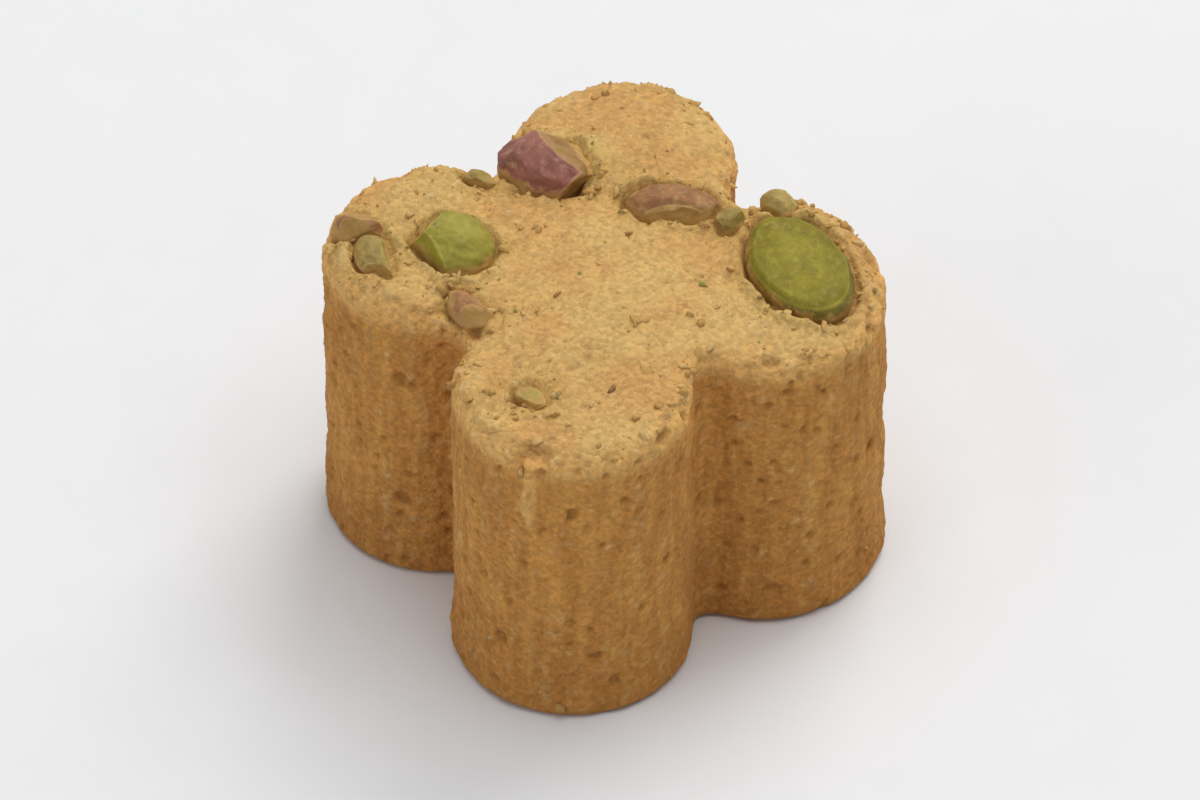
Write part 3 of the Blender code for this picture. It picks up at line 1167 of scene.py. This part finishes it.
class MaterialInTheMaking:
    """A new material and its node tree, whose patterns read object coordinates.

    Attributes:
        material: The material.
        tree: Its node tree.
        place: The object coordinates.
    """

    def __init__(self, name: str) -> None:
        """Starts an empty material.

        Args:
            name: Its name.
        """
        self.material = bpy.data.materials.new(name)
        self.material.use_nodes = True
        self.tree = self.material.node_tree
        self.tree.nodes.clear()
        self.place = self.add("TexCoord", "Object")

    def add(
        self, kind: str, output: str | int | None = None, inputs: dict | None = None, **settings: object
    ) -> bpy.types.Node | bpy.types.NodeSocket:
        """Adds a node with its settings, and sets or links its inputs.

        Args:
            kind: The node's type name after ShaderNode.
            output: The output socket that is wanted.
            inputs: By socket, a value, a hex colour, the output socket to link, or None to leave it alone.
            settings: The node's own properties.

        Returns:
            The wanted output socket, or the node where none is named.
        """
        node = self.tree.nodes.new(f"ShaderNode{kind}")
        for name, value in settings.items():
            setattr(node, name, value)
        for name, value in (inputs or {}).items():
            if isinstance(value, bpy.types.NodeSocket):
                self.tree.links.new(value, node.inputs[name])
            elif value is not None:
                node.inputs[name].default_value = linear(value) if isinstance(value, str) else value
        return node if output is None else node.outputs[output]

    def tinted(self, colour: str | bpy.types.NodeSocket, *layers: tuple) -> bpy.types.NodeSocket:
        """Lays tints over a colour, one after another.

        Formula: a tint's share goes evenly from nothing, where its value is at the start, to the most at the
        end.

        Args:
            colour: The colour underneath.
            layers: For each tint, its value, the start, the end, the most, and its colour.

        Returns:
            The tinted colour.
        """
        for value, start, end, most, tint in layers:
            ramp = {"Value": value, "From Min": start, "From Max": end, "To Max": most}
            mix = {"Factor": self.add("MapRange", "Result", ramp), COLOUR_A: colour, COLOUR_B: tint}
            colour = self.add("Mix", COLOUR_OUT, mix, data_type="RGBA")
        return colour

    def shaded(self, colour: str | bpy.types.NodeSocket, *layers: tuple) -> bpy.types.NodeSocket:
        """Darkens and lightens a colour by a pattern, once for each layer.

        Formula: the colour times a brightness that goes evenly from dark, where the value is at the start, to
        light at the end.

        Args:
            colour: The colour underneath.
            layers: For each, its value, the start, the end, dark and light.

        Returns:
            The shaded colour.
        """
        for value, start, end, dark, light in layers:
            ramp = {"Value": value, "From Min": start, "From Max": end, "To Min": dark, "To Max": light}
            mix = {"Factor": 1.0, COLOUR_A: colour, COLOUR_B: self.add("MapRange", "Result", ramp)}
            colour = self.add("Mix", COLOUR_OUT, mix, data_type="RGBA", blend_type="MULTIPLY")
        return colour

    def finished(self, colour: bpy.types.NodeSocket, relief: tuple, sockets: dict) -> bpy.types.Material:
        """Stacks the fine relief and wires up the shader.

        Args:
            colour: The finished colour.
            relief: For each layer, its pattern, strength, depth in millimetres, and whether it is turned
                inside out.
            sockets: The shader's other inputs.

        Returns:
            The material.
        """
        normal = None
        for pattern, strength, depth, inverted in relief:
            bump = {"Height": pattern, "Strength": strength, "Distance": depth * MM, "Normal": normal}
            normal = self.add("Bump", "Normal", bump, invert=inverted)
        shader = self.add("BsdfPrincipled", "BSDF", {"Base Color": colour, "Normal": normal, **sockets})
        self.add("OutputMaterial", inputs={"Surface": shader})
        return self.material


@dataclass(frozen=True)
class BakedDough:
    """Baked chickpea flour shortbread: roasted flour, fat and sugar, pressed flat, cut out and baked.

    It gives a dry, matt, sandy face in warm straw yellow. The cut sides are a shade browner and more orange,
    partly their own baked colour and partly painted shade and painted warm reflection, and they darken towards
    the foot with browning and painted shade. Hollows are darker with painted shade, the floury crests paler,
    and the rim's round and the torn ridge carry a painted golden highlight.

    Attributes:
        name: The material's name.
        pale: Floury crests.
        top: The top's main colour.
        golden: Warmer patches of the top.
        rim: Painted highlight on the rim's round and the torn ridge, more golden than the top.
        side: The cut sides, browner and more orange than the top: partly their own baked colour, partly
        painted shade and painted warm reflection.
        brown: Where the side browned most, and the foot, whose darkening is browning and painted shade.
        hollow: Painted shade in the bottoms of pits and cracks and in the dents and crevices round the nuts.
        bran: Flecks of roasted husk.
        oil: The green-tinged dough beside a nut.
        patch: Size of the warm patches in millimetres.
        streak: Breadth of the cutter's drag streaks on the side.
        flatten: How much the streaks' pattern is squeezed upright, which draws them out.
        browned_and_shaded_to: Height up to which the foot is darkened, by browning on the tray and by painted
            shade.
        fleck_spacing: Distance between flecks.
        crumb: Size of the coarser crumb.
        crumb_height: Height of the coarser crumb.
        grain: Size of the sandy grain, drawn about twice as coarse as the flour so that it shows.
        grain_height: Height of the sandy grain.
        roughness: How matt it is.
        slot: A slot's name, passed along with the piece but not used.
    """

    name: str = "baked_chickpea_dough"
    pale: str = "#DEC28C"
    top: str = "#D2AC6B"
    golden: str = "#CE9F60"
    rim: str = "#E8B268"
    side: str = "#CF964D"
    brown: str = "#AC7035"
    hollow: str = "#936636"
    bran: str = "#91683A"
    oil: str = "#AE964E"
    patch: float = 3.4
    streak: float = 0.6
    flatten: float = 0.14
    browned_and_shaded_to: float = 6.0
    fleck_spacing: float = 1.5
    crumb: float = 0.55
    crumb_height: float = 0.12
    grain: float = 0.20
    grain_height: float = 0.05
    roughness: float = 0.92
    slot: str = "dough"

    def material(self) -> bpy.types.Material:
        """Builds the material, which reads object coordinates and the marks wall, rim, hollow and by_nut."""
        making = MaterialInTheMaking(self.name)
        place, add = making.place, making.add
        wall, rim, hollow, by_nut = (
            add("Attribute", "Fac", attribute_name=mark) for mark in ("wall", "rim", "hollow", "by_nut")
        )
        height = add("SeparateXYZ", "Z", {"Vector": place})
        drawn = add("Mapping", "Vector", {"Vector": place, "Scale": (1.0, 1.0, self.flatten)})
        streaks = add("TexNoise", "Fac", {"Vector": drawn, "Scale": per_metre(self.streak), "Detail": 4.0})
        flecks = add("TexVoronoi", "Distance", {"Vector": place, "Scale": per_metre(self.fleck_spacing)})
        grains = add("TexVoronoi", None, {"Vector": place, "Scale": per_metre(self.grain)}).outputs
        patches, sand, crumb = (
            add(
                "TexNoise",
                "Fac",
                {"Vector": place, "Scale": per_metre(size), "Detail": detail, "Roughness": rough},
            )
            for size, detail, rough in (
                (self.patch, 3.0, 0.5),
                (self.grain, 2.0, 0.6),
                (self.crumb, 4.0, 0.7),
            )
        )
        colour = making.tinted(
            making.tinted(self.top, (patches, 0.42, 0.60, 1.0, self.golden)),
            # The cut sides: their own browner colour, pushed darker and more orange as painted shade and
            # painted reflection.
            (wall, 0.0, 1.0, 1.0, making.tinted(self.side, (streaks, 0.38, 0.64, 0.55, self.brown))),
            # Darker towards the foot: browning on the tray, and painted shade of the lower wall.
            (height, self.browned_and_shaded_to * MM, 0.1 * MM, 0.50, self.brown),
            # Painted highlight: a paler golden tint on the rim's round and the torn ridge.
            (rim, 0.0, 1.0, 0.75, self.rim),
            (by_nut, 0.0, 1.0, 0.32, self.oil),
            (hollow, -0.05, -0.55, 0.55, self.pale),
            # Painted shade in pits, cracks and the crevices round the nuts.
            (hollow, 0.15, 1.0, 0.55, self.hollow),
            (flecks, 0.13, 0.07, 0.35, self.bran),
        )
        colour = making.shaded(colour, (sand, 0.2, 0.8, 0.81, 1.13), (grains["Color"], 0.2, 0.8, 0.86, 1.10))
        relief = (
            (crumb, 0.8, self.crumb_height, False),
            (grains["Distance"], 0.6, self.grain_height, True),
            (sand, 0.8, self.grain_height, False),
        )
        return making.finished(
            colour, relief, {"Roughness": self.roughness, "IOR": 1.40, "Specular IOR Level": 0.25}
        )


@dataclass(frozen=True)
class ChoppedPistachio:
    """Raw pistachio kernel, chopped with a knife and baked: waxy flesh where it was cut, dry skin outside.

    The flesh is yellow-green and darkens towards its outside; the skin is wrinkled, papery, purple to brown.

    Attributes:
        name: The material's name.
        flesh: The cut flesh.
        deep_flesh: Its darker patches.
        outer: The uncut outside.
        deep_outer: The outside's darker patches.
        flour: The flour that sticks to it.
        slot: A slot's name, passed along with the piece but not used.
        dough: The dough smeared on its foot.
        skin: Scraps of skin left on the uncut side.
        skin_share: How much of the uncut side they cover, from 0 to 1.
        patch: Size of the patches in millimetres.
        scrap: Size of the scraps of skin.
        powder: Size of the flour's specks.
        smear: Size of the smears' ragged edge.
        wrinkle: Size of the fine wrinkles.
        wrinkle_height: Their height.
        roughness: How matt it is.
    """

    name: str
    flesh: str
    deep_flesh: str
    outer: str
    deep_outer: str
    flour: str
    slot: str = "pistachio_green"
    dough: str = "#C59C5B"
    skin: str = "#7A5646"
    skin_share: float = 0.0
    patch: float = 0.9
    scrap: float = 1.5
    powder: float = 0.40
    smear: float = 0.55
    wrinkle: float = 0.35
    wrinkle_height: float = 0.07
    roughness: float = 0.62

    def material(self) -> bpy.types.Material:
        """Builds the material, which reads object coordinates and the marks outer, edge, foot and tone."""
        making = MaterialInTheMaking(self.name)
        add = making.add
        outer, edge, foot, tone = (
            add("Attribute", "Fac", attribute_name=mark) for mark in ("outer", "edge", "foot", "tone")
        )
        patches, scraps, powder, ragged, wrinkles = (
            add(
                "TexNoise",
                "Fac",
                {
                    "Vector": making.place,
                    "Scale": per_metre(size),
                    "Detail": detail,
                    "Roughness": rough,
                    "Distortion": bent,
                },
            )
            for size, detail, rough, bent in (
                (self.patch, 4.0, 0.6, 0.0),
                (self.scrap, 4.0, 0.5, 0.4),
                (self.powder, 5.0, 0.75, 0.0),
                (self.smear, 4.0, 0.7, 0.0),
                (self.wrinkle, 3.0, 0.5, 0.6),
            )
        )
        flesh, outside = (
            making.tinted(colour, (patches, 0.36, 0.66, 1.0, deep))
            for colour, deep in ((self.flesh, self.deep_flesh), (self.outer, self.deep_outer))
        )
        start = 0.72 - 0.30 * self.skin_share
        left = add("MapRange", "Result", {"Value": scraps, "From Min": start, "From Max": start + 0.05})
        scrap = add("Math", "Value", {0: left, 1: outer}, operation="MULTIPLY")
        caught = add("Math", "Value", {0: foot, 1: 0.34, 2: ragged}, operation="MULTIPLY_ADD")
        colour = making.tinted(
            flesh,
            (outer, 0.0, 1.0, 1.0, outside),
            (scrap, 0.0, 1.0, 0.85 * (self.skin_share > 0), self.skin),
            (powder, 0.50, 0.72, 0.60, self.flour),
            (edge, 0.0, 1.0, 0.7, self.flour),
            (caught, 0.62, 0.82, 0.85, self.dough),
        )
        colour = making.shaded(colour, (tone, 0.0, 1.0, 0.85, 1.1))
        sockets = {
            "Roughness": self.roughness,
            "IOR": 1.46,
            "Specular IOR Level": 0.3,
            "Subsurface Weight": 0.12,
            "Subsurface Radius": (0.5, 0.4, 0.15),
            "Subsurface Scale": MM,
        }
        return making.finished(colour, ((wrinkles, 0.7, self.wrinkle_height, False),), sockets)


@dataclass(frozen=True)
class LooseBits:
    """Crumbs of baked dough, or dust of chopped nut: dry, matt bits, each with its own tone.

    Attributes:
        name: The material's name.
        tones: Colours in order of a bit's own tone, evenly spread.
        slot: A slot's name, passed along with the bits but not used.
        roughness: How matt they are.
        grain: Size of the sandy grain in millimetres.
        grain_height: Its height.
    """

    name: str
    tones: tuple[str, ...]
    slot: str
    roughness: float = 0.9
    grain: float = 0.2
    grain_height: float = 0.05

    def material(self) -> bpy.types.Material:
        """Builds the material, which reads object coordinates and the mark tone."""
        making = MaterialInTheMaking(self.name)
        tone = making.add("Attribute", "Fac", attribute_name="tone")
        ramp = making.add("ValToRGB", None, {"Fac": tone})
        stops = ramp.color_ramp.elements
        while len(stops) < len(self.tones):
            stops.new(0.5)
        for i, shade in enumerate(self.tones):
            stops[i].position = i / (len(self.tones) - 1)
            stops[i].color = linear(shade)
        sand = making.add(
            "TexNoise", "Fac", {"Vector": making.place, "Scale": per_metre(self.grain), "Detail": 2.0}
        )
        colour = making.shaded(ramp.outputs["Color"], (sand, 0.25, 0.75, 0.86, 1.08))
        sockets = {"Roughness": self.roughness, "Specular IOR Level": 0.25}
        return making.finished(colour, ((sand, 0.7, self.grain_height, False),), sockets)


NUT_FINISHES = {
    NutKind.GREEN: ChoppedPistachio(
        "pistachio_kernel_green", "#B2AA40", "#A09836", "#A69E38", "#8E872E", "#C6B460",
        skin_share=0.30,
    ),
    NutKind.DRY: ChoppedPistachio(
        "pistachio_kernel_dry", "#AE9C4C", "#94813C", "#A38D4A", "#7F6B36", "#CBAE6C",
        skin_share=0.20, patch=0.5, roughness=0.7,
    ),
    NutKind.PURPLE: ChoppedPistachio(
        "pistachio_skin_purple", "#A88A52", "#956C3E", "#9A5B56", "#703A37", "#C39A7C",
        slot="pistachio_skin", roughness=0.66,
    ),
    NutKind.BROWN: ChoppedPistachio(
        "pistachio_skin_brown", "#C49C5A", "#A67C42", "#B0784E", "#855436", "#D0AC72",
        slot="pistachio_skin", patch=0.55, roughness=0.7,
    ),
    # The slice's outer side is dark olive-brown: partly the kernel's darker outside, partly painted shade of
    # the crevice beside it. Its flour colour also pales the rim of its open face.
    NutKind.SLICE: ChoppedPistachio(
        "pistachio_kernel_slice", "#8E8324", "#7A6D1E", "#74651F", "#5A4A1C", "#ABA03E",
        roughness=0.6,
    ),
}


@dataclass
class ChickpeaCookie:
    """The whole cookie: its dough, its nut pieces and what clings to it.

    Attributes:
        body: The dough.
    """

    body: DoughBody = field(default_factory=DoughBody)

    def build(self) -> list[bpy.types.Object]:
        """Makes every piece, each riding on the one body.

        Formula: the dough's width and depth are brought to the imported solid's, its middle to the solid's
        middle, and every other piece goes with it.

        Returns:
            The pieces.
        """
        chopping = PistachioPieces(self.body)
        nuts = chopping.chopped()
        dough = self.body.surface(chopping.footprints(nuts))
        low, high = (np.array(corner) / MM for corner in CAD_BOX)
        least, most = dough.points.min(axis=0), dough.points.max(axis=0)
        scale = (high - low) / (most - least)
        shift = (high + low) / 2 - scale * (most + least) / 2
        scale[2], shift[2] = 1.0, 0.0

        parts = [("dough_body", dough, BakedDough())]
        for kind, surface in chopping.by_kind(nuts).items():
            parts.append((f"pistachio_{kind.value}", surface, NUT_FINISHES[kind]))
        parts += [(finish.name, scatter.surface(), finish) for scatter, finish in self.clinging(dough)]
        pieces = []
        for name, surface, finish in parts:
            piece = surface.fitted(scale, shift).build(name, finish.material())
            pieces.append(self.settle(piece, finish.slot))
        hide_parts(NODE)
        return pieces

    @staticmethod
    def clinging(dough: Surface) -> list[tuple[Scatter, LooseBits]]:
        """What clings to the dough, with a finish for each, which also gives the piece's name.

        Formula: crumbs gather along the rim by a bell of the distance from it, in patches picked by soft
        noise, round the nuts and where a bit broke away, and thin out over the top and the wall; nut dust
        keeps near the nuts. Neither sits in a deep hollow or near the floor.

        Args:
            dough: The dough's surface.

        Returns:
            Lumps and finish of each piece.
        """
        inward, wall = dough.marks["from_rim"], dough.marks["wall"]
        free = (dough.marks["hollow"] < 0.6) * (dough.points[:, 2] > 0.5)
        patchy = smooth_step(-0.25, 0.55, SolidNoise(8).swell(dough.points, 2.4))
        crumbs = free * (0.05 + 0.9 * bell(inward, 0.5) * (0.15 + patchy) + 0.5 * dough.marks["by_nut"])
        crumbs = crumbs * (1.0 - 0.8 * wall) + 0.5 * dough.marks["torn"]
        nuts = free * (0.07 + dough.marks["by_nut"]) * (1.0 - wall)
        crumb_tones = ("#B88D50", "#C79E5C", "#CFA867", "#D5B172")
        dust_tones = ("#86823A", "#9A9544", "#AAA056", "#9A764C", "#835A42")
        return [
            (
                Scatter(dough, crumbs, count=900, smallest=0.05, largest=0.30, sunk=-0.12, seed=21),
                LooseBits("dough_crumbs", crumb_tones, "crumb"),
            ),
            (
                Scatter(dough, nuts, count=34, smallest=0.10, largest=0.36, sunk=-0.3, seed=34),
                LooseBits("nut_dust", dust_tones, "pistachio_green", 0.8),
            ),
        ]

    @staticmethod
    def settle(piece: bpy.types.Object, slot: str) -> bpy.types.Object:
        """Rides the piece on the cookie's body."""
        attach(piece, BODY)
        return piece


def aimed(data: bpy.types.ID, target: Vector, stand: "SoftLight | Studio") -> bpy.types.Object:
    """Sets a light or the camera up round the cookie.

    Args:
        data: The light or the camera, which gives the object's name.
        target: What it faces.
        stand: Gives the azimuth and elevation in degrees and the distance in metres.

    Returns:
        The object.
    """
    turn, rise = math.radians(stand.azimuth), math.radians(stand.elevation)
    away = Vector((math.sin(turn) * math.cos(rise), -math.cos(turn) * math.cos(rise), math.sin(rise)))
    holder = bpy.data.objects.new(data.name, data)
    holder.location = target + away * stand.distance
    holder.rotation_euler = away.to_track_quat("Z", "Y").to_euler()
    bpy.context.scene.collection.objects.link(holder)
    return holder


@dataclass(frozen=True)
class SoftLight:
    """A square soft light aimed at the cookie.

    Attributes:
        name: Its name.
        azimuth: Degrees round the cookie, 0 at -Y and 90 at +X.
        elevation: Degrees above the floor.
        distance: Metres from the cookie.
        size: Metres along a side.
        power: Watts.
        colour: Its tint.
    """

    name: str
    azimuth: float
    elevation: float
    distance: float
    size: float
    power: float
    colour: str = "#FFFFFF"

    def add(self, target: Vector) -> None:
        """Adds the light, facing the target."""
        light = bpy.data.lights.new(self.name, "AREA")
        light.size = self.size
        light.energy = self.power
        light.color = linear(self.colour)[:3]
        aimed(light, target, self)


@dataclass(frozen=True)
class Studio:
    """The pale floor, the soft lights and the camera at the photograph's angle.

    Attributes:
        azimuth: The camera's degrees round the cookie.
        elevation: Its degrees above the floor.
        distance: Its distance in metres.
        view_width: Width of the view at the cookie, in millimetres.
        aim_height: Height that it looks at, in millimetres.
        floor_size: Half a side of the floor in metres.
        floor: The floor's colour.
        lights: The lights.
        ambient: Strength of the even light from all round.
        room: Its colour.
        fibre: Size of the floor's fibres in millimetres.
        sensor: Width of the camera's sensor in millimetres.
    """

    azimuth: float = 53.5
    elevation: float = 43.5
    distance: float = 0.65
    view_width: float = 50.0
    aim_height: float = 7.0
    floor_size: float = 1.5
    floor: str = "#EAEBEC"
    lights: tuple[SoftLight, ...] = (
        SoftLight("overhead", 150, 82, 0.7, 0.70, 2.85),
        SoftLight("behind_right", 205, 48, 0.7, 0.42, 2.0, "#FFFCF8"),
        SoftLight("front_left", 355, 24, 0.8, 0.45, 0.8, "#FAFBFF"),
    )
    ambient: float = 0.33
    room: str = "#F4F6FA"
    fibre: float = 3.0
    sensor: float = 36.0

    def build(self) -> None:
        """Sets the floor, the lights, the even light and the camera."""
        scene = bpy.context.scene
        target = Vector((0.0, 0.0, self.aim_height * MM))
        half = self.floor_size
        corners = np.array([(-half, -half, 0.0), (half, -half, 0.0), (half, half, 0.0), (-half, half, 0.0)])
        floor = Surface(corners / MM, [np.array([[0, 1, 2, 3]])]).build("pale_floor", self.floor_finish())
        for light in self.lights:
            light.add(target)
        world = bpy.data.worlds.new("soft_room")
        world.use_nodes = True
        background = world.node_tree.nodes["Background"]
        background.inputs["Color"].default_value = linear(self.room)
        background.inputs["Strength"].default_value = self.ambient
        scene.world = world
        scene.view_settings.view_transform = "Standard"
        lens = bpy.data.cameras.new("camera")
        lens.sensor_width = self.sensor
        lens.lens = self.distance * self.sensor / (self.view_width * MM)
        lens.clip_start, lens.clip_end = 0.05, 10.0
        scene.camera = aimed(lens, target, self)

    def floor_finish(self) -> bpy.types.Material:
        """Matt white-grey card, with the faintest mottle of its fibres."""
        making = MaterialInTheMaking("pale_card")
        pattern = {"Vector": making.place, "Scale": per_metre(self.fibre), "Detail": 4.0}
        fibres = making.add("TexNoise", "Fac", pattern)
        colour = making.shaded(self.floor, (fibres, 0.3, 0.7, 0.985, 1.0))
        return making.finished(colour, (), {"Roughness": 0.9})


def main() -> None:
    """Builds the cookie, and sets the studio."""
    logging.basicConfig(level=logging.INFO, format="%(name)s: %(message)s")
    for piece in ChickpeaCookie().build():
        log.info("%s, %d faces", piece.name, len(piece.data.polygons))
    Studio().build()


if __name__ == "__main__":
    main()
